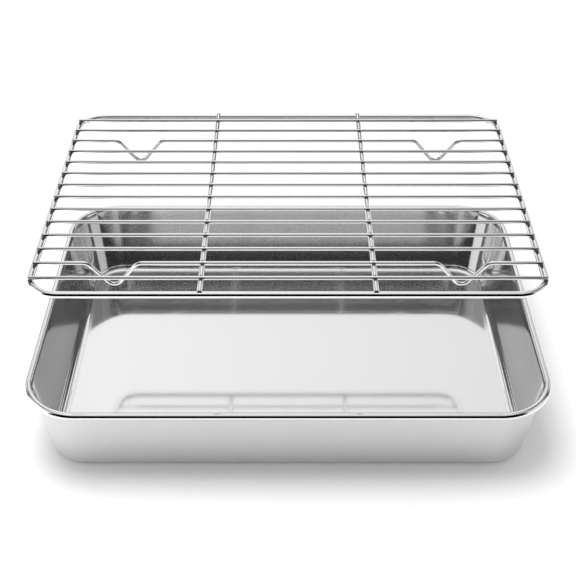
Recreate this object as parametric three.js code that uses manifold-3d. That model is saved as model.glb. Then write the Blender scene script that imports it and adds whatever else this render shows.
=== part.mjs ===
// Baking tray with a lift-out wire rack.
// The tray is one pressed steel sheet with a rolled rim. The rack is a bent frame
// wire with two bars and fourteen cross wires welded on top; two of the cross wires
// are bent into V-shaped feet that stand on the tray's floor.
// Millimetres, +Z up, origin on the table under the middle of the tray.

import * as THREE from 'three';
import { mergeVertices } from 'three/addons/utils/BufferGeometryUtils.js';
import Module from 'manifold-3d';

// Tray
const TRAY_WIDTH = 315;
const TRAY_DEPTH = 224;
const TRAY_HEIGHT = 52.3;
const TRAY_CORNER_RADIUS = 34;
const SHEET_THICKNESS = 0.7;
const WALL_DRAFT = THREE.MathUtils.degToRad(8);
const FLOOR_FILLET_RADIUS = 4.5;
const RIM_BEAD_DIAMETER = 4.8;
const RIM_CURL_SWEEP = THREE.MathUtils.degToRad(290);

// Rack
const FRAME_WIRE_DIAMETER = 4;
const BAR_WIRE_DIAMETER = 3.2;
const CROSS_WIRE_DIAMETER = 2.2;
const FRAME_CORNER_RADIUS = 17;
const CROSS_WIRE_COUNT = 14;
const FRONT_FOOT_WIRE_COUNT = 2; // counted from the front
const BACK_FOOT_WIRE_COUNT = 3; // counted from the back
const END_WIRE_GAP = 11;
const BAR_SPACING = 95;
const BAR_RISE = 1.8;
const BAR_OVERHANG = 0.5;
const FOOT_SPACING = 195;
const FOOT_DROP = 14.3;
const FOOT_SLOPE = THREE.MathUtils.degToRad(51);
const FOOT_SHOULDER_RADIUS = 6.2;
const FOOT_APEX_RADIUS = 5;

// Fits between the pieces
const RACK_SIDE_CLEARANCE = 4;
const RACK_END_CLEARANCE = 0.5;
const RACK_LIFT = 117.8;
const SEAT_GAP = 0.3;
const WELD_GAP = 0.1;
const NOTCH_GAP = 0.3;
const WIRE_END_SETBACK = 1.9;

// Facets
const CORNER_STEPS = 8;
const FILLET_STEPS = 4;
const CURL_STEPS = 12;
const FRAME_SIDES = 12;
const WIRE_SIDES = 10;
const BEND_STEPS = 4;

const trayFinish = new THREE.MeshStandardMaterial({ color: 0xc9cbcd, metalness: 1, roughness: 0.22 });
const rackFinish = new THREE.MeshStandardMaterial({ color: 0xd2d4d6, metalness: 1, roughness: 0.14 });

const wasm = await Module();
wasm.setup();

// A rounded rectangle as a ring of points, anticlockwise seen from above.
function roundedRectangle(width, depth, radius, z) {
  const points = [];
  const corners = [[1, 1, 0], [-1, 1, 1], [-1, -1, 2], [1, -1, 3]];
  for (const [sideX, sideY, quarter] of corners) {
    const centreX = sideX * (width / 2 - radius);
    const centreY = sideY * (depth / 2 - radius);
    for (let step = 0; step <= CORNER_STEPS; step += 1) {
      const angle = (quarter + step / CORNER_STEPS) * Math.PI / 2;
      points.push([centreX + radius * Math.cos(angle), centreY + radius * Math.sin(angle), z]);
    }
  }
  return points;
}

// Joins rings of equal length, in order, into one closed surface. The rings either
// close on themselves or end in two flat caps.
function loft(rings, closesOnItself) {
  const count = rings[0].length;
  const positions = rings.flat(2);
  const indices = [];
  const bands = closesOnItself ? rings.length : rings.length - 1;
  for (let band = 0; band < bands; band += 1) {
    const near = band * count;
    const far = ((band + 1) % rings.length) * count;
    for (let k = 0; k < count; k += 1) {
      const next = (k + 1) % count;
      indices.push(near + k, near + next, far + next);
      indices.push(near + k, far + next, far + k);
    }
  }
  if (!closesOnItself) {
    const last = (rings.length - 1) * count;
    for (let k = 1; k < count - 1; k += 1) {
      indices.push(0, k + 1, k);
      indices.push(last, last + k, last + k + 1);
    }
  }
  const geometry = new THREE.BufferGeometry();
  geometry.setAttribute('position', new THREE.Float32BufferAttribute(positions, 3));
  geometry.setIndex(indices);
  return geometry;
}

function solidOf(geometry) {
  const bare = geometry.clone();
  bare.deleteAttribute('normal');
  bare.deleteAttribute('uv');
  const merged = mergeVertices(bare);
  return new wasm.Manifold(new wasm.Mesh({
    numProp: 3,
    vertProperties: new Float32Array(merged.attributes.position.array),
    triVerts: new Uint32Array(merged.index.array),
  }));
}

function geometryOf(solid) {
  const mesh = solid.getMesh();
  const geometry = new THREE.BufferGeometry();
  geometry.setAttribute('position', new THREE.BufferAttribute(mesh.vertProperties, 3));
  geometry.setIndex(new THREE.BufferAttribute(mesh.triVerts, 1));
  return geometry;
}

function piece(name, geometry, material) {
  const mesh = new THREE.Mesh(geometry, material);
  mesh.name = name;
  return mesh;
}

// The middle line of the tray's sheet, from the edge of the flat floor, round the
// floor fillet, up the wall and round the rolled rim. Each point has its distance
// in from the rim's outer edge, its height, and the normal of the inner face.
const beadRadius = RIM_BEAD_DIAMETER / 2;
const curlRadius = beadRadius - SHEET_THICKNESS / 2;
const beadHeight = TRAY_HEIGHT - beadRadius;
const wallTopInset = beadRadius + curlRadius * Math.cos(WALL_DRAFT);
const wallTopHeight = beadHeight + curlRadius * Math.sin(WALL_DRAFT);
const filletRadius = FLOOR_FILLET_RADIUS + SHEET_THICKNESS / 2;
const filletHeight = SHEET_THICKNESS / 2 + filletRadius;
const wallFootHeight = filletHeight - filletRadius * Math.sin(WALL_DRAFT);
const wallFootInset = wallTopInset + (wallTopHeight - wallFootHeight) * Math.tan(WALL_DRAFT);
const floorInset = wallFootInset + filletRadius * Math.cos(WALL_DRAFT);

function sheetLine() {
  const line = [];
  for (let step = 0; step <= FILLET_STEPS; step += 1) {
    const angle = -Math.PI / 2 + (step / FILLET_STEPS) * (Math.PI / 2 - WALL_DRAFT);
    line.push({
      inset: floorInset - filletRadius * Math.cos(angle),
      height: filletHeight + filletRadius * Math.sin(angle),
      normalOut: -Math.cos(angle),
      normalUp: -Math.sin(angle),
    });
  }
  for (let step = 0; step <= CURL_STEPS; step += 1) {
    const angle = Math.PI - WALL_DRAFT - (step / CURL_STEPS) * RIM_CURL_SWEEP;
    line.push({
      inset: beadRadius - curlRadius * Math.cos(angle),
      height: beadHeight + curlRadius * Math.sin(angle),
      normalOut: Math.cos(angle),
      normalUp: Math.sin(angle),
    });
  }
  return line;
}

function trayRing(point, side) {
  const shift = side * SHEET_THICKNESS / 2;
  const inset = point.inset - shift * point.normalOut;
  const height = point.height + shift * point.normalUp;
  const width = TRAY_WIDTH - 2 * inset;
  const depth = TRAY_DEPTH - 2 * inset;
  return roundedRectangle(width, depth, TRAY_CORNER_RADIUS - inset, height);
}

function trayPan() {
  const line = sheetLine();
  const innerFace = line.map((point) => trayRing(point, 1));
  const outerFace = line.map((point) => trayRing(point, -1));
  return loft([...outerFace, ...innerFace.reverse()], false);
}

// Heights of the rack, measured from the axis of its frame wire.
const frameRadius = FRAME_WIRE_DIAMETER / 2;
const barRadius = BAR_WIRE_DIAMETER / 2;
const crossRadius = CROSS_WIRE_DIAMETER / 2;
const crossRise = frameRadius + crossRadius + WELD_GAP;

// The rack is as large as the tray lets it be at the height where its feet stand.
const seatedHeight = SHEET_THICKNESS + SEAT_GAP + FOOT_DROP + crossRadius - crossRise;
const wallInset = wallTopInset + (wallTopHeight - seatedHeight) * Math.tan(WALL_DRAFT)
  + SHEET_THICKNESS / 2 / Math.cos(WALL_DRAFT);
const frameWidth = TRAY_WIDTH - 2 * (wallInset + RACK_SIDE_CLEARANCE + frameRadius);
const frameDepth = TRAY_DEPTH - 2 * (wallInset + RACK_END_CLEARANCE + frameRadius);
const crossPitch = (frameDepth - 2 * END_WIRE_GAP) / (CROSS_WIRE_COUNT - 1);
const crossLength = frameWidth + FRAME_WIRE_DIAMETER - 2 * WIRE_END_SETBACK;

function crossWireY(position) {
  return -frameDepth / 2 + END_WIRE_GAP + (position - 1) * crossPitch;
}

function rackFrame() {
  const rings = [];
  for (let side = 0; side < FRAME_SIDES; side += 1) {
    const angle = (side / FRAME_SIDES) * 2 * Math.PI;
    const out = frameRadius * Math.cos(angle);
    const up = frameRadius * Math.sin(angle);
    rings.push(roundedRectangle(frameWidth + 2 * out, frameDepth + 2 * out, FRAME_CORNER_RADIUS + out, up));
  }
  return loft(rings, true);
}

function wireAlongX(radius, length) {
  return new THREE.CylinderGeometry(radius, radius, length, WIRE_SIDES).rotateZ(Math.PI / 2);
}

// A bar lies along Y under the cross wires, with a saddle pressed in for each of
// them, and its ends are pressed down over the front and back of the frame.
function rackBar() {
  const bar = new THREE.CylinderGeometry(barRadius, barRadius, frameDepth + 2 * BAR_OVERHANG, WIRE_SIDES);
  let solid = solidOf(bar);
  const pressSaddle = (radius, y, rise) => {
    const saddle = wireAlongX(radius + NOTCH_GAP, 3 * BAR_WIRE_DIAMETER);
    saddle.translate(0, y, rise - BAR_RISE);
    solid = solid.subtract(solidOf(saddle));
  };
  for (let position = 1; position <= CROSS_WIRE_COUNT; position += 1) {
    pressSaddle(crossRadius, crossWireY(position), crossRise);
  }
  pressSaddle(frameRadius, -frameDepth / 2, 0);
  pressSaddle(frameRadius, frameDepth / 2, 0);
  return geometryOf(solid);
}

// A wire bent in one upright plane: straight runs joined by round bends. Its rings
// stand where the runs meet the bends, and evenly through each bend.
class BentWire extends THREE.Curve {
  constructor(startX, z) {
    super();
    this.heading = 0;
    this.points = [new THREE.Vector3(startX, 0, z)];
    this.tangents = [new THREE.Vector3(1, 0, 0)];
  }

  addPoint(x, z) {
    this.points.push(new THREE.Vector3(x, 0, z));
    this.tangents.push(new THREE.Vector3(Math.cos(this.heading), 0, Math.sin(this.heading)));
  }

  run(length) {
    const last = this.points.at(-1);
    this.addPoint(last.x + length * Math.cos(this.heading), last.z + length * Math.sin(this.heading));
  }

  bend(angle, radius) {
    const last = this.points.at(-1);
    const start = this.heading;
    const turn = Math.sign(angle);
    const centreX = last.x - turn * radius * Math.sin(start);
    const centreZ = last.z + turn * radius * Math.cos(start);
    for (let step = 1; step <= BEND_STEPS; step += 1) {
      this.heading = start + angle * step / BEND_STEPS;
      this.addPoint(centreX + turn * radius * Math.sin(this.heading),
        centreZ - turn * radius * Math.cos(this.heading));
    }
  }

  getUtoTmapping(u) {
    return u;
  }

  getPoint(t, target = new THREE.Vector3()) {
    return target.copy(this.points[Math.round(t * (this.points.length - 1))]);
  }

  getTangent(t, target = new THREE.Vector3()) {
    return target.copy(this.tangents[Math.round(t * (this.points.length - 1))]);
  }
}

// A cross wire with a V-shaped foot near each end.
function footWire() {
  const shoulderWidth = FOOT_SHOULDER_RADIUS * Math.sin(FOOT_SLOPE);
  const shoulderDrop = FOOT_SHOULDER_RADIUS * (1 - Math.cos(FOOT_SLOPE));
  const apexWidth = FOOT_APEX_RADIUS * Math.sin(FOOT_SLOPE);
  const apexDrop = FOOT_APEX_RADIUS * (1 - Math.cos(FOOT_SLOPE));
  const slopeDrop = FOOT_DROP - shoulderDrop - apexDrop;
  const slopeLength = slopeDrop / Math.sin(FOOT_SLOPE);
  const footHalfWidth = shoulderWidth + slopeDrop / Math.tan(FOOT_SLOPE) + apexWidth;
  const endRun = (crossLength - FOOT_SPACING) / 2 - footHalfWidth;
  const middleRun = FOOT_SPACING - 2 * footHalfWidth;

  const path = new BentWire(-crossLength / 2, 0);
  for (const runBefore of [endRun, middleRun]) {
    path.run(runBefore);
    path.bend(-FOOT_SLOPE, FOOT_SHOULDER_RADIUS);
    path.run(slopeLength);
    path.bend(2 * FOOT_SLOPE, FOOT_APEX_RADIUS);
    path.run(slopeLength);
    path.bend(-FOOT_SLOPE, FOOT_SHOULDER_RADIUS);
  }
  path.run(endRun);

  const section = new THREE.Shape().absarc(0, 0, crossRadius, 0, 2 * Math.PI);
  return new THREE.ExtrudeGeometry(section, {
    extrudePath: path,
    steps: path.points.length - 1,
    curveSegments: WIRE_SIDES / 2,
  });
}

const bakingTray = new THREE.Group();
bakingTray.add(piece('tray_pan', trayPan(), trayFinish));

const rack = new THREE.Group();
rack.position.z = seatedHeight + RACK_LIFT;
rack.add(piece('rack_frame', rackFrame(), rackFinish));

const barGeometry = rackBar();
for (const [name, side] of [['rack_bar_left', -1], ['rack_bar_right', 1]]) {
  const bar = piece(name, barGeometry, rackFinish);
  bar.position.set(side * BAR_SPACING / 2, 0, BAR_RISE);
  rack.add(bar);
}

const straightWire = wireAlongX(crossRadius, crossLength);
const bentWire = footWire();
const footNames = new Map([
  [FRONT_FOOT_WIRE_COUNT, 'foot_wire_front'],
  [CROSS_WIRE_COUNT + 1 - BACK_FOOT_WIRE_COUNT, 'foot_wire_back'],
]);
for (let position = 1; position <= CROSS_WIRE_COUNT; position += 1) {
  const footName = footNames.get(position);
  const name = footName ?? `cross_wire_${String(position).padStart(2, '0')}`;
  const wire = piece(name, footName ? bentWire : straightWire, rackFinish);
  wire.position.set(0, crossWireY(position), crossRise);
  rack.add(wire);
}
bakingTray.add(rack);

export default bakingTray;
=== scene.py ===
import math

import bmesh
import bpy
import numpy as np
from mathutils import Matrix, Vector


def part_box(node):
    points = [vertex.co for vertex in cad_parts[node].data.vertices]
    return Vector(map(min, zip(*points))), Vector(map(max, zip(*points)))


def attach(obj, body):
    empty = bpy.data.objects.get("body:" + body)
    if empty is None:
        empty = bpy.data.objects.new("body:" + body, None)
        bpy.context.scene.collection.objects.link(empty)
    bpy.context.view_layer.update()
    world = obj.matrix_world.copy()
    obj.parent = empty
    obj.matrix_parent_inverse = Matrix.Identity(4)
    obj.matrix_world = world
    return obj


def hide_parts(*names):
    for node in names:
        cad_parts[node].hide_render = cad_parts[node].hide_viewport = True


# Lengths are in metres, with X to the right, Y to the back and Z up.
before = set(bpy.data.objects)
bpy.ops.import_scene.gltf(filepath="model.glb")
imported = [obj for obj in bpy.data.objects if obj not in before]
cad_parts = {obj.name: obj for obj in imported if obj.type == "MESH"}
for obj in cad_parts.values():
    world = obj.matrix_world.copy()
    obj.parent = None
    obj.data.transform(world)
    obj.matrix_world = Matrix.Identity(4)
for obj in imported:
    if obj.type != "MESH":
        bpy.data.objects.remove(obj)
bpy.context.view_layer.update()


# Camera
# A product view from the front, looking down into the tray with the rack above it.
# Its place, pitch and focal length are fitted to the photograph.
PICTURE_WIDTH_PX = 576
FOCAL_LENGTH_PX = 1054.8
SENSOR_WIDTH = 36.0
CAMERA_PLACE = (0.0, -0.5472, 0.4792)
CAMERA_PITCH = math.radians(37.5)

camera_data = bpy.data.cameras.new("product_camera")
camera_data.sensor_width = SENSOR_WIDTH
camera_data.lens = SENSOR_WIDTH * FOCAL_LENGTH_PX / PICTURE_WIDTH_PX
camera = bpy.data.objects.new("product_camera", camera_data)
camera.location = CAMERA_PLACE
camera.rotation_euler = (math.pi / 2 - CAMERA_PITCH, 0.0, 0.0)
bpy.context.scene.collection.objects.link(camera)
bpy.context.scene.camera = camera
bpy.context.scene.view_settings.view_transform = "Standard"


# Studio
# Polished steel shows what stands round it: a white backdrop and ceiling, grey sides that are darker
# low down, a dark front, and a panel and a box at each side. The soft lamp overhead isn't mirrored.
class Value:
    """A shader socket that takes part in Python sums: each operator adds a Math node."""

    def __init__(self, tree, socket):
        self.tree = tree
        self.socket = socket

    def combine(self, operation, first, second):
        return self.tree.add("ShaderNodeMath", {"operation": operation}, {0: first, 1: second})

    def __add__(self, other):
        return self.combine("ADD", self, other)

    def __radd__(self, other):
        return self.combine("ADD", other, self)

    def __sub__(self, other):
        return self.combine("SUBTRACT", self, other)

    def __rsub__(self, other):
        return self.combine("SUBTRACT", other, self)

    def __mul__(self, other):
        return self.combine("MULTIPLY", self, other)

    def __rmul__(self, other):
        return self.combine("MULTIPLY", other, self)


class Tree:
    """A node tree under construction. add() makes one node, sets it up and links it."""

    def __init__(self, owner):
        owner.use_nodes = True
        self.nodes = owner.node_tree.nodes
        self.links = owner.node_tree.links

    def connect(self, node, sockets):
        for key, value in sockets.items():
            if isinstance(value, Value):
                self.links.new(value.socket, node.inputs[key])
            else:
                node.inputs[key].default_value = value

    def add(self, kind, settings=None, sockets=None, output=0):
        node = self.nodes.new(kind)
        for key, value in (settings or {}).items():
            setattr(node, key, value)
        self.connect(node, sockets or {})
        return Value(self, node.outputs[output])

    def smooth_step(self, value, start, end):
        return self.add(
            "ShaderNodeMapRange",
            {"interpolation_type": "SMOOTHSTEP"},
            {"Value": value, "From Min": start, "From Max": end},
        )

    def axis(self, vector, name):
        return self.add("ShaderNodeSeparateXYZ", {}, {"Vector": vector}, name)

    def ray_is(self, kind):
        """1 for rays of one kind, such as Camera or Glossy, else 0."""
        return self.add("ShaderNodeLightPath", output=f"Is {kind} Ray")

    def seen_directly(self):
        """1 for rays from the camera, from polished metal or through glass, else 0."""
        direct = self.ray_is("Camera") + self.ray_is("Glossy") + self.ray_is("Transmission")
        return self.add("ShaderNodeMath", {"operation": "MINIMUM"}, {0: direct, 1: 1.0})


AMBIENT_LIGHT = 0.63
LEFT_LEAN = 0.38
SIDE_LEVEL = 0.31
SIDE_EDGE = (math.radians(12), math.radians(42))
GAP_LEVEL = 0.30
GAP_EDGE = (math.radians(12), math.radians(22))
GAP_TOP = (math.sin(math.radians(22)), math.sin(math.radians(40)))
FRONT_EDGE = (math.radians(96), math.radians(136))
CEILING_EDGE = (math.sin(math.radians(50)), math.sin(math.radians(78)))
WHITE = (1.0, 1.0, 1.0, 1.0)

world = bpy.data.worlds.new("studio")
bpy.context.scene.world = world
studio = Tree(world)
direction = studio.add("ShaderNodeTexCoord", output="Generated")
rightwards = studio.axis(direction, "X")
backwards = studio.axis(direction, "Y")
upwards = studio.axis(direction, "Z")
bearing = studio.add("ShaderNodeMath", {"operation": "ARCTAN2"}, {0: rightwards, 1: backwards})
off_centre = studio.add("ShaderNodeMath", {"operation": "ABSOLUTE"}, {0: bearing})
below_ceiling = 1.0 - studio.smooth_step(upwards, *CEILING_EDGE)
side = studio.smooth_step(off_centre, *SIDE_EDGE) * below_ceiling
front = studio.smooth_step(off_centre, *FRONT_EDGE) * below_ceiling
gap = studio.smooth_step(off_centre, *GAP_EDGE) * (1.0 - studio.smooth_step(upwards, *GAP_TOP))
mirrored = (1.0 - front) * (1.0 - side * (1.0 - SIDE_LEVEL)) * (1.0 - gap * (1.0 - GAP_LEVEL))
mirrored = mirrored * (1.0 - rightwards * LEFT_LEAN)
ambient = (1.0 - studio.seen_directly()) * AMBIENT_LIGHT
level = studio.ray_is("Camera") + studio.ray_is("Glossy") * mirrored + ambient
studio.connect(studio.nodes["Background"], {"Strength": level, "Color": WHITE})

LAMP_RADIANCE = 8.8
LAMP_SIZE = 0.6
LAMP_PLACE = Vector((-0.17, 0.02, 1.06))
PANEL_RADIANCE = 0.8
PANEL_WIDTH = 0.6
PANEL_HEIGHT = 0.30
PANEL_RISE = 0.22
PANEL_OFF_CENTRE = 0.62
PANEL_BEHIND = 0.55
PANEL_AIM_IN_FRONT = 0.1
LEFT_BOX_RADIANCE = 1.10
RIGHT_BOX_RADIANCE = 0.74
BOX_WIDTH = 0.36
BOX_HEIGHT = 0.40
BOX_OFF_CENTRE = 0.50
BOX_IN_FRONT = 0.16


def add_lamp(name, shape, place, aim, width, height, radiance):
    """An even area lamp. Its power is pi times its area times the radiance that metal mirrors."""
    data = bpy.data.lights.new(name, "AREA")
    data.shape = shape
    data.size = width
    data.size_y = height
    area = width * height * (math.pi / 4 if shape == "DISK" else 1.0)
    data.energy = math.pi * area * radiance
    lamp = bpy.data.objects.new(name, data)
    lamp.location = place
    lamp.rotation_euler = (place - aim).to_track_quat("Z", "Y").to_euler()
    lamp.visible_camera = False
    bpy.context.scene.collection.objects.link(lamp)
    return lamp


soft_lamp = add_lamp("soft_lamp", "DISK", LAMP_PLACE, Vector(), LAMP_SIZE, LAMP_SIZE, LAMP_RADIANCE)
soft_lamp.visible_glossy = False
lamp_sides = (("left", -1, LEFT_BOX_RADIANCE), ("right", 1, RIGHT_BOX_RADIANCE))
for side_name, side_sign, box_radiance in lamp_sides:
    panel_height = PANEL_RISE + PANEL_HEIGHT / 2
    panel_place = Vector((side_sign * PANEL_OFF_CENTRE, PANEL_BEHIND, panel_height))
    panel_aim = Vector((0.0, -PANEL_AIM_IN_FRONT, panel_height))
    panel_measures = (PANEL_WIDTH, PANEL_HEIGHT, PANEL_RADIANCE)
    add_lamp(f"{side_name}_panel", "RECTANGLE", panel_place, panel_aim, *panel_measures)
    box_place = Vector((side_sign * BOX_OFF_CENTRE, -BOX_IN_FRONT, BOX_HEIGHT / 2))
    box_aim = Vector((0.0, -BOX_IN_FRONT, BOX_HEIGHT / 2))
    box_measures = (BOX_WIDTH, BOX_HEIGHT, box_radiance)
    add_lamp(f"{side_name}_box", "RECTANGLE", box_place, box_aim, *box_measures)


# Table
# A plain white table top that takes the object's shadow. Away from the object it also glows a
# little where it is seen directly, so that it passes into the white behind.
TABLE_REACH = 4.0
TABLE_FRONT = 0.8
TABLE_SHADE = 0.90
TABLE_ROUGHNESS = 0.9
TABLE_GLOW = 0.46
TABLE_FADE = (0.14, 1.20)

table_mesh = bpy.data.meshes.new("table_top")
table_corners = [
    (-TABLE_REACH, -TABLE_FRONT, 0.0), (TABLE_REACH, -TABLE_FRONT, 0.0),
    (TABLE_REACH, TABLE_REACH, 0.0), (-TABLE_REACH, TABLE_REACH, 0.0),
]
table_mesh.from_pydata(table_corners, [], [(0, 1, 2, 3)])
table_top = bpy.data.objects.new("table_top", table_mesh)
bpy.context.scene.collection.objects.link(table_top)
table_paint = bpy.data.materials.new("table_white")
paint = Tree(table_paint)
table_point = paint.add("ShaderNodeTexCoord", output="Object")
far_off = paint.add("ShaderNodeVectorMath", {"operation": "LENGTH"}, {0: table_point}, "Value")
glow = paint.seen_directly() * paint.smooth_step(far_off, *TABLE_FADE) * TABLE_GLOW
paint.connect(
    paint.nodes["Principled BSDF"],
    {
        "Base Color": (TABLE_SHADE, TABLE_SHADE, TABLE_SHADE, 1.0),
        "Roughness": TABLE_ROUGHNESS,
        "Specular IOR Level": 0.0,
        "Emission Color": glow,
        "Emission Strength": 1.0,
    },
)
table_mesh.materials.append(table_paint)


# Tray pan
# One sheet of stainless steel, drawn into a pan with sloping walls and round corners.
# The rim is rolled outwards into an empty bead. Polished inside, satin outside.
tray_low, tray_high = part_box("tray_pan")
TRAY_WIDTH = tray_high.x - tray_low.x
TRAY_DEPTH = tray_high.y - tray_low.y
TRAY_HEIGHT = tray_high.z
TRAY_CORNER_RADIUS = 0.034
SHEET_THICKNESS = 0.0007
WALL_DRAFT = math.radians(8)
FLOOR_FILLET_RADIUS = 0.0045
RIM_BEAD_RADIUS = 0.0024
RIM_CURL_SWEEP = math.radians(290)
CORNER_STEPS = 28
LONG_SIDE_STEPS = 14
SHORT_SIDE_STEPS = 10
FILLET_STEPS = 14
WALL_STEPS = 12
CURL_STEPS = 40
FLOOR_STEPS = 10
MERGE_DISTANCE = 1e-7


def outline_steps():
    """The stations round a rounded rectangle: for each, its corner's signs, the angle of
    its outward normal, and how far it lies along the straight side after that corner."""
    signs, angles, shares = [], [], []
    corners = ((1, 1), (-1, 1), (-1, -1), (1, -1))
    for quarter, corner in enumerate(corners):
        turn = np.linspace(0.0, 1.0, CORNER_STEPS + 1)
        side_steps = LONG_SIDE_STEPS if quarter % 2 == 0 else SHORT_SIDE_STEPS
        along_side = np.linspace(0.0, 1.0, side_steps + 1)[1:-1]
        share = np.concatenate([np.zeros_like(turn), along_side])
        angle = np.concatenate([turn, np.ones_like(along_side)])
        signs.append(np.tile(corner, (len(share), 1)))
        angles.append((quarter + angle) * math.pi / 2)
        shares.append(share)
    return np.concatenate(signs), np.concatenate(angles), np.concatenate(shares)


STATION_SIGNS, STATION_ANGLES, STATION_SHARES = outline_steps()


def rounded_rectangles(width, depth, radius, height):
    """Rings of points, one for each entry of the arrays. A point is its corner's centre plus
    the radius along its normal, and then a share of the way to the next corner's centre."""
    half_x = (width / 2 - radius)[:, None]
    half_y = (depth / 2 - radius)[:, None]
    runs_along_x = np.abs(np.sin(STATION_ANGLES)) > np.abs(np.cos(STATION_ANGLES))
    share_in_x = np.where(runs_along_x, STATION_SHARES, 0.0)
    share_in_y = STATION_SHARES - share_in_x
    x = STATION_SIGNS[:, 0] * half_x * (1.0 - 2 * share_in_x)
    y = STATION_SIGNS[:, 1] * half_y * (1.0 - 2 * share_in_y)
    x = x + radius[:, None] * np.cos(STATION_ANGLES)
    y = y + radius[:, None] * np.sin(STATION_ANGLES)
    z = np.broadcast_to(height[:, None], x.shape)
    return np.stack([x, y, z], axis=-1)


def surface_mesh(name, rings, rows_close=False):
    """A mesh from a grid of points: rows of closed rings, each point joined to the next in its
    ring and to its neighbour in the next row. Its UV map "sheet" holds the lengths round the ring
    and down the rows. Points that meet are merged, and faces point out."""
    rows, count = rings.shape[:2]
    row_total = rows if rows_close else rows - 1
    row, station = np.meshgrid(np.arange(row_total), np.arange(count), indexing="ij")
    next_row = (row + 1) % rows
    next_station = (station + 1) % count
    quads = np.stack(
        [
            row * count + station,
            row * count + next_station,
            next_row * count + next_station,
            next_row * count + station,
        ],
        axis=-1,
    ).reshape(-1, 4)
    mesh = bpy.data.meshes.new(name)
    mesh.from_pydata(rings.reshape(-1, 3).tolist(), [], quads.tolist())

    row_lengths = np.linalg.norm(np.diff(rings, axis=0, append=rings[-1:]), axis=-1).mean(axis=1)
    down_rows = np.concatenate([[0.0], np.cumsum(row_lengths)[:-1]])
    middle_ring = rings[rows // 2]
    ring_lengths = np.linalg.norm(np.diff(middle_ring, axis=0, append=middle_ring[:1]), axis=-1)
    round_ring = np.concatenate([[0.0], np.cumsum(ring_lengths)])
    here_u = round_ring[station]
    next_u = round_ring[station + 1]
    here_v = down_rows[row]
    next_v = down_rows[np.minimum(row + 1, rows - 1)]
    corner_u = np.stack([here_u, next_u, next_u, here_u], -1)
    corner_v = np.stack([here_v, here_v, next_v, next_v], -1)
    layer = mesh.uv_layers.new(name="sheet")
    layer.data.foreach_set("uv", np.stack([corner_u, corner_v], -1).reshape(-1).astype(np.float32))

    work = bmesh.new()
    work.from_mesh(mesh)
    bmesh.ops.remove_doubles(work, verts=work.verts, dist=MERGE_DISTANCE)
    bmesh.ops.recalc_face_normals(work, faces=work.faces)
    for face in work.faces:
        face.smooth = True
    work.to_mesh(mesh)
    work.free()
    return mesh


def add_piece(name, mesh, body, nodes, finishes):
    """Puts a finished mesh into the scene in place of its CAD nodes."""
    piece = bpy.data.objects.new(name, mesh)
    bpy.context.scene.collection.objects.link(piece)
    for finish in finishes:
        mesh.materials.append(finish)
    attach(piece, body)
    if nodes:
        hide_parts(*nodes)
    return piece


def sheet_line():
    """The middle of the sheet from the floor's edge to the end of the curl, as insets from the
    rim, heights and inner normals: a round fillet, a straight wall, and a round curl. A point of
    the fillet or the curl is its centre plus its radius times (cosine, sine) of its angle."""
    curl = RIM_BEAD_RADIUS - SHEET_THICKNESS / 2
    bead_height = TRAY_HEIGHT - RIM_BEAD_RADIUS
    top_inset = RIM_BEAD_RADIUS + curl * math.cos(WALL_DRAFT)
    top_height = bead_height + curl * math.sin(WALL_DRAFT)
    fillet = FLOOR_FILLET_RADIUS + SHEET_THICKNESS / 2
    fillet_height = SHEET_THICKNESS / 2 + fillet
    foot_height = fillet_height - fillet * math.sin(WALL_DRAFT)
    foot_inset = top_inset + (top_height - foot_height) * math.tan(WALL_DRAFT)
    floor_inset = foot_inset + fillet * math.cos(WALL_DRAFT)

    bend = np.linspace(-math.pi / 2, -WALL_DRAFT, FILLET_STEPS + 1)
    up = np.linspace(0.0, 1.0, WALL_STEPS + 1)[1:-1]
    roll = math.pi - WALL_DRAFT - np.linspace(0.0, RIM_CURL_SWEEP, CURL_STEPS + 1)
    inset = np.concatenate([
        floor_inset - fillet * np.cos(bend),
        foot_inset + (top_inset - foot_inset) * up,
        RIM_BEAD_RADIUS - curl * np.cos(roll),
    ])
    height = np.concatenate([
        fillet_height + fillet * np.sin(bend),
        foot_height + (top_height - foot_height) * up,
        bead_height + curl * np.sin(roll),
    ])
    out = np.concatenate([-np.cos(bend), np.full_like(up, -math.cos(WALL_DRAFT)), np.cos(roll)])
    rise = np.concatenate([-np.sin(bend), np.full_like(up, math.sin(WALL_DRAFT)), np.sin(roll)])
    return inset, height, out, rise


def tray_rings():
    """The whole skin of the sheet: from the middle of the floor's top, out over the inner face
    and the bead, round the curl's edge, and back over the outer face to the middle underneath."""
    inset, height, out, rise = sheet_line()
    half = SHEET_THICKNESS / 2
    inner_inset, inner_height = inset - half * out, height + half * rise
    outer_inset, outer_height = inset + half * out, height - half * rise
    middle = TRAY_DEPTH / 2
    inwards = np.linspace(1.0, 0.0, FLOOR_STEPS + 1)[:-1]
    top_floor = inner_inset[0] + (middle - inner_inset[0]) * inwards
    under_floor = outer_inset[0] + (middle - outer_inset[0]) * inwards
    insets = np.concatenate([top_floor, inner_inset, outer_inset[::-1], under_floor[::-1]])
    heights = np.concatenate([
        np.full_like(top_floor, inner_height[0]), inner_height,
        outer_height[::-1], np.full_like(under_floor, outer_height[0]),
    ])
    radii = np.maximum(TRAY_CORNER_RADIUS - insets, 0.0)
    return rounded_rectangles(TRAY_WIDTH - 2 * insets, TRAY_DEPTH - 2 * insets, radii, heights)


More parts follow.
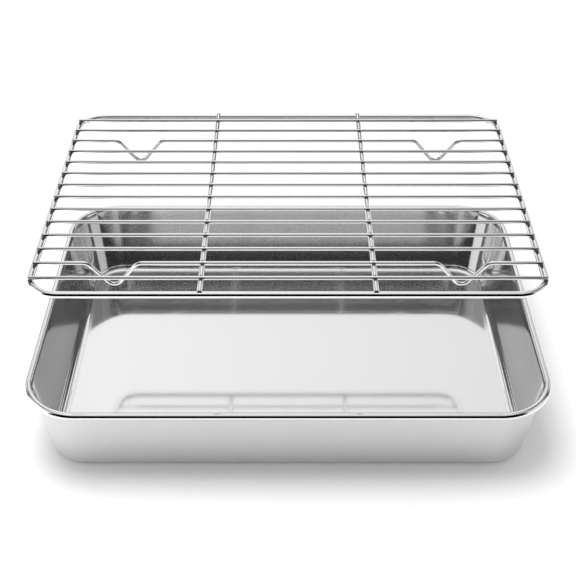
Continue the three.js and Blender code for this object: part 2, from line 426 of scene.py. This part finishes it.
GRAIN_DETAIL = 3.0
CLOUD_SCALE = 18.0
CLOUD_DETAIL = 2.0
FLOOR_STEEL = (0.82, 0.82, 0.825, 1.0)
FLOOR_ROUGHNESS = 0.07
FLOOR_SPREAD = 0.008
WALL_STEEL = (0.70, 0.70, 0.705, 1.0)
WALL_ROUGHNESS = 0.11
WALL_SPREAD = 0.01
INSIDE_METAL = 0.97
RIM_STEEL = (0.80, 0.80, 0.805, 1.0)
RIM_ROUGHNESS = 0.07
RIM_SPREAD = 0.02
OUTSIDE_STEEL = (0.70, 0.70, 0.705, 1.0)
OUTSIDE_ROUGHNESS = 0.42
OUTSIDE_SPREAD = 0.03
POLISH_LINES = (60.0, 2000.0, 1.0)
SATIN_LINES = (60.0, 4000.0, 1.0)
OUTSIDE_SLOPE = -0.02
FLOOR_SLOPE = 0.5


def steel_finish(name, colour, roughness, spread, line_scale, metal=1.0):
    """Stainless steel whose gloss varies with fine lines along the sheet and slow clouds: the
    roughness plus the spread times (lines + clouds - 1), where each lies round one half."""
    material = bpy.data.materials.new(name)
    tree = Tree(material)
    sheet_place = tree.add("ShaderNodeUVMap", {"uv_map": "sheet"})
    lines = tree.add("ShaderNodeMapping", {}, {"Vector": sheet_place, "Scale": line_scale})
    grain_sockets = {"Vector": lines, "Scale": 1.0, "Detail": GRAIN_DETAIL}
    grain = tree.add("ShaderNodeTexNoise", {}, grain_sockets, "Fac")
    place = tree.add("ShaderNodeTexCoord", output="Object")
    cloud_sockets = {"Vector": place, "Scale": CLOUD_SCALE, "Detail": CLOUD_DETAIL}
    cloud = tree.add("ShaderNodeTexNoise", {}, cloud_sockets, "Fac")
    gloss = roughness + (grain + cloud - 1.0) * spread
    tree.connect(
        tree.nodes["Principled BSDF"],
        {"Base Color": colour, "Metallic": metal, "Roughness": gloss},
    )
    return material


floor_polish = steel_finish(
    "tray_inside_polish", FLOOR_STEEL, FLOOR_ROUGHNESS, FLOOR_SPREAD, POLISH_LINES, INSIDE_METAL
)
wall_satin = steel_finish(
    "tray_wall_satin", WALL_STEEL, WALL_ROUGHNESS, WALL_SPREAD, POLISH_LINES, INSIDE_METAL
)
rim_polish = steel_finish("tray_rim_polish", RIM_STEEL, RIM_ROUGHNESS, RIM_SPREAD, POLISH_LINES)
outside_satin = steel_finish(
    "tray_outside_satin", OUTSIDE_STEEL, OUTSIDE_ROUGHNESS, OUTSIDE_SPREAD, SATIN_LINES
)

tray_mesh = surface_mesh("tray_pan_sheet", tray_rings())
tray_finishes = [floor_polish, rim_polish, outside_satin, wall_satin]
add_piece("tray_pan_sheet", tray_mesh, "tray", ["tray_pan"], tray_finishes)
rim_bottom = TRAY_HEIGHT - 2 * RIM_BEAD_RADIUS
for face in tray_mesh.polygons:
    if face.center.z > rim_bottom:
        face.material_index = tray_finishes.index(rim_polish)
    elif face.normal.z < OUTSIDE_SLOPE:
        face.material_index = tray_finishes.index(outside_satin)
    elif face.normal.z < FLOOR_SLOPE:
        face.material_index = tray_finishes.index(wall_satin)


# Rack frame
# A thick bright wire bent into a rounded rectangle, its ends butt-welded into one loop.
# The cross wires are welded onto its sides, and the bars onto its front and back.
frame_low, frame_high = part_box("rack_frame")
FRAME_RADIUS = (frame_high.z - frame_low.z) / 2
FRAME_HEIGHT = (frame_high.z + frame_low.z) / 2
FRAME_WIDTH = frame_high.x - frame_low.x - 2 * FRAME_RADIUS
FRAME_DEPTH = frame_high.y - frame_low.y - 2 * FRAME_RADIUS
FRAME_CORNER_RADIUS = 0.017
FRAME_SIDES = 28
RACK_STEEL = (0.84, 0.845, 0.85, 1.0)
RACK_ROUGHNESS = 0.06
RACK_SPREAD = 0.02
WIRE_LINES = (2000.0, 40.0, 1.0)

rack_polish = steel_finish("rack_bright_wire", RACK_STEEL, RACK_ROUGHNESS, RACK_SPREAD, WIRE_LINES)


def frame_rings():
    """A round section carried along a rounded rectangle: each row is the rectangle grown by
    the radius times the cosine of the section's angle, raised by the radius times its sine."""
    angle = np.arange(FRAME_SIDES) / FRAME_SIDES * 2 * math.pi
    out = FRAME_RADIUS * np.cos(angle)
    up = FRAME_HEIGHT + FRAME_RADIUS * np.sin(angle)
    width = FRAME_WIDTH + 2 * out
    depth = FRAME_DEPTH + 2 * out
    return rounded_rectangles(width, depth, FRAME_CORNER_RADIUS + out, up)


frame_mesh = surface_mesh("rack_frame_wire", frame_rings(), rows_close=True)
add_piece("rack_frame_wire", frame_mesh, "rack", ["rack_frame"], [rack_polish])


# Bars
# Two medium wires along the short side. The cross wires are welded into their tops, and their
# sheared ends lie pressed over the front and back of the frame. Their end faces are painted
# near-black: a painted dark reflection.
WIRE_SIDES = 20
END_ROUNDING = 0.00025
END_STEPS = 4


def wire_rings(line, tangents, across, radius):
    """A round section carried along a line that lies in one plane. At each point the section
    is radius times (cosine * normal + sine * across). Both ends are rounded off and closed."""
    turn = np.linspace(0.0, math.pi / 2, END_STEPS + 1)
    shrink = END_ROUNDING * (1.0 - np.sin(turn))
    advance = END_ROUNDING * (1.0 - np.cos(turn))
    start = line[0] + tangents[0] * advance[:, None]
    finish = line[-1] - tangents[-1] * advance[::-1, None]
    centres = np.concatenate([line[:1], start, line[1:-1], finish, line[-1:]])
    facing = np.concatenate([
        tangents[:1], np.repeat(tangents[:1], len(start), 0), tangents[1:-1],
        np.repeat(tangents[-1:], len(finish), 0), tangents[-1:],
    ])
    radii = np.concatenate([
        [0.0], radius - shrink, np.full(len(line) - 2, radius), radius - shrink[::-1], [0.0],
    ])
    normals = np.cross(across, facing)[:, None, :]
    angle = (np.arange(WIRE_SIDES) / WIRE_SIDES * 2 * math.pi)[None, :, None]
    section = np.cos(angle) * normals + np.sin(angle) * np.array(across)
    return centres[:, None, :] + radii[:, None, None] * section


CROSS_NAMES = sorted(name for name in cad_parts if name.startswith(("cross_wire", "foot_wire")))
cross_boxes = [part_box(name) for name in CROSS_NAMES]
CROSS_PLACES = np.array([(low.y + high.y) / 2 for low, high in cross_boxes])
CROSS_RADIUS = min(high.z - low.z for low, high in cross_boxes) / 2
CROSS_HEIGHT = cross_boxes[0][1].z - CROSS_RADIUS
SADDLE_DEPTH = 0.0006
SADDLE_LENGTH = 0.0016
BAR_STEPS = 420
# Painted dark reflection: the bars' end faces are coloured near-black to stand for the dark front they
# would mirror.
PAINTED_DARK_END_COLOUR = (0.045, 0.045, 0.048, 1.0)
PAINTED_DARK_END_ROUGHNESS = 0.45
DULL_SPREAD = 0.1
DULL_LINES = (2000.0, 2000.0, 1.0)
END_FACING = 0.9

painted_dark_end = steel_finish(
    "wire_end_painted_dark", PAINTED_DARK_END_COLOUR, PAINTED_DARK_END_ROUGHNESS, DULL_SPREAD, DULL_LINES
)


def bar_rings(x, front_y, back_y, height, radius):
    """A bar along Y that dips under each cross wire: its height falls by the saddle's depth
    times exp(-(distance / length)^2)."""
    y = np.linspace(front_y, back_y, BAR_STEPS)
    away = (y[:, None] - CROSS_PLACES[None, :]) / SADDLE_LENGTH
    z = height - SADDLE_DEPTH * np.exp(-away * away).sum(axis=1)
    line = np.stack([np.full_like(y, x), y, z], -1)
    tangents = np.gradient(line, axis=0)
    tangents = tangents / np.linalg.norm(tangents, axis=1)[:, None]
    return wire_rings(line, tangents, (1, 0, 0), radius)


bar_finishes = [rack_polish, painted_dark_end]
bar_crests = []
for bar_name in ("rack_bar_left", "rack_bar_right"):
    bar_low, bar_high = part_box(bar_name)
    bar_radius = (bar_high.z - bar_low.z) / 2
    bar_x = (bar_low.x + bar_high.x) / 2
    bar_height = (bar_low.z + bar_high.z) / 2
    bar_crests.append((bar_x, bar_high.z))
    bar_skin = bar_rings(bar_x, bar_low.y, bar_high.y, bar_height, bar_radius)
    mesh = surface_mesh(bar_name + "_wire", bar_skin)
    add_piece(bar_name + "_wire", mesh, "rack", [bar_name], bar_finishes)
    # Faces that point along the bar, the end faces, get the painted dark reflection.
    for face in mesh.polygons:
        if abs(face.normal.y) > END_FACING:
            face.material_index = bar_finishes.index(painted_dark_end)


# Straight cross wires
# Twelve thin bright wires, cut straight. They are laid across the bars and the sides of the frame
# and welded on where they cross them.
STRAIGHT_POINTS = 3


def straight_rings(start, end, across, radius):
    """A straight wire: points at even shares of the way between its two ends."""
    line = np.linspace(start, end, STRAIGHT_POINTS)
    heading = (line[-1] - line[0]) / np.linalg.norm(line[-1] - line[0])
    return wire_rings(line, np.tile(heading, (STRAIGHT_POINTS, 1)), across, radius)


for wire_name in [name for name in CROSS_NAMES if name.startswith("cross_wire")]:
    wire_low, wire_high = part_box(wire_name)
    wire_radius = (wire_high.z - wire_low.z) / 2
    wire_y = (wire_low.y + wire_high.y) / 2
    wire_height = (wire_low.z + wire_high.z) / 2
    left_end = (wire_low.x, wire_y, wire_height)
    right_end = (wire_high.x, wire_y, wire_height)
    mesh = surface_mesh(wire_name + "_rod", straight_rings(left_end, right_end, (0, 1, 0), wire_radius))
    add_piece(wire_name + "_rod", mesh, "rack", [wire_name], [rack_polish])


# Foot wires
# Two of the cross wires, each bent down into a V near both ends and welded on like the others.
# The rack stands on the tips of the four Vs.
FOOT_SPACING = 0.195
FOOT_SLOPE = math.radians(51)
FOOT_SHOULDER_RADIUS = 0.0062
FOOT_APEX_RADIUS = 0.005
BEND_STEPS = 12


def foot_line(start_x, end_x, top, drop):
    """The wire's middle line in its upright plane: straight, a round shoulder, a straight slope,
    a round tip, and the same back up, for both feet. Gives x, z and the heading at each point.
    On a bend x runs by radius * sin(turn) and z falls by radius * (1 - cos(turn))."""
    shoulder_x = FOOT_SHOULDER_RADIUS * math.sin(FOOT_SLOPE)
    shoulder_z = FOOT_SHOULDER_RADIUS * (1 - math.cos(FOOT_SLOPE))
    tip_x = FOOT_APEX_RADIUS * math.sin(FOOT_SLOPE)
    tip_z = FOOT_APEX_RADIUS * (1 - math.cos(FOOT_SLOPE))
    slope_z = drop - shoulder_z - tip_z
    half_width = shoulder_x + slope_z / math.tan(FOOT_SLOPE) + tip_x
    turn = np.linspace(0.0, 1.0, BEND_STEPS + 1) * FOOT_SLOPE
    round_tip = np.linspace(-1.0, 1.0, 2 * BEND_STEPS + 1) * FOOT_SLOPE
    xs, zs, headings = [np.array([start_x])], [np.array([top])], [np.array([0.0])]
    for middle in (-FOOT_SPACING / 2, FOOT_SPACING / 2):
        down_x = middle - half_width + FOOT_SHOULDER_RADIUS * np.sin(turn)
        down_z = top - FOOT_SHOULDER_RADIUS * (1 - np.cos(turn))
        tip_xs = middle + FOOT_APEX_RADIUS * np.sin(round_tip)
        tip_zs = top - drop + FOOT_APEX_RADIUS * (1 - np.cos(round_tip))
        xs += [down_x, tip_xs, 2 * middle - down_x[::-1]]
        zs += [down_z, tip_zs, down_z[::-1]]
        headings += [-turn, round_tip, turn[::-1]]
    xs.append(np.array([end_x]))
    zs.append(np.array([top]))
    headings.append(np.array([0.0]))
    return np.concatenate(xs), np.concatenate(zs), np.concatenate(headings)


for foot_name in ("foot_wire_front", "foot_wire_back"):
    foot_low, foot_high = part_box(foot_name)
    foot_y = (foot_low.y + foot_high.y) / 2
    foot_top = foot_high.z - CROSS_RADIUS
    foot_drop = foot_top - foot_low.z - CROSS_RADIUS
    x, z, heading = foot_line(foot_low.x, foot_high.x, foot_top, foot_drop)
    line = np.stack([x, np.full_like(x, foot_y), z], -1)
    tangents = np.stack([np.cos(heading), np.zeros_like(x), np.sin(heading)], -1)
    mesh = surface_mesh(foot_name + "_rod", wire_rings(line, tangents, (0, 1, 0), CROSS_RADIUS))
    add_piece(foot_name + "_rod", mesh, "rack", [foot_name], [rack_polish])


# Welds
# A small dark nugget squeezed out wherever a cross wire is welded: on both bars and on both
# sides of the frame. All of them are one piece that rides with the rack. Their near-black colour is
# partly the weld spot and partly painted shade, the contact shadow where a wire crosses.
NUGGET_SIZE = np.array([0.0013, 0.0026, 0.0010])
NUGGET_INSET = 0.0011
NUGGET_SINK = 0.0002
NUGGET_STEPS = 8
# Painted shade in part: the nuggets are near-black to stand for the contact shadow under each crossing
# as well as the weld.
WELD_AND_PAINTED_SHADE_COLOUR = (0.10, 0.098, 0.095, 1.0)
WELD_ROUGHNESS = 0.30

weld_and_painted_shade = steel_finish("weld_nuggets_and_painted_shade", WELD_AND_PAINTED_SHADE_COLOUR, WELD_ROUGHNESS, DULL_SPREAD, DULL_LINES)


def nugget_rings(place):
    """An egg shape: place plus size times (cos turn sin tilt, sin turn sin tilt, cos tilt)."""
    tilt, turn = np.meshgrid(
        np.linspace(0.0, math.pi, NUGGET_STEPS + 1),
        np.arange(2 * NUGGET_STEPS) / NUGGET_STEPS * math.pi,
        indexing="ij",
    )
    egg = np.stack([np.cos(turn) * np.sin(tilt), np.sin(turn) * np.sin(tilt), np.cos(tilt)], -1)
    return np.array(place) + egg * NUGGET_SIZE


weld_lines = [(bar_x, bar_top - NUGGET_SINK) for bar_x, bar_top in bar_crests]
for side_sign in (-1, 1):
    weld_lines.append((side_sign * (FRAME_WIDTH / 2 - NUGGET_INSET), CROSS_HEIGHT - CROSS_RADIUS))
weld_work = bmesh.new()
for wire_y in CROSS_PLACES:
    for weld_x, weld_height in weld_lines:
        one_weld = surface_mesh("one_weld", nugget_rings((weld_x, wire_y, weld_height)))
        weld_work.from_mesh(one_weld)
        bpy.data.meshes.remove(one_weld)
weld_mesh = bpy.data.meshes.new("rack_welds")
weld_work.to_mesh(weld_mesh)
weld_work.free()
add_piece("rack_welds", weld_mesh, "rack", [], [weld_and_painted_shade])
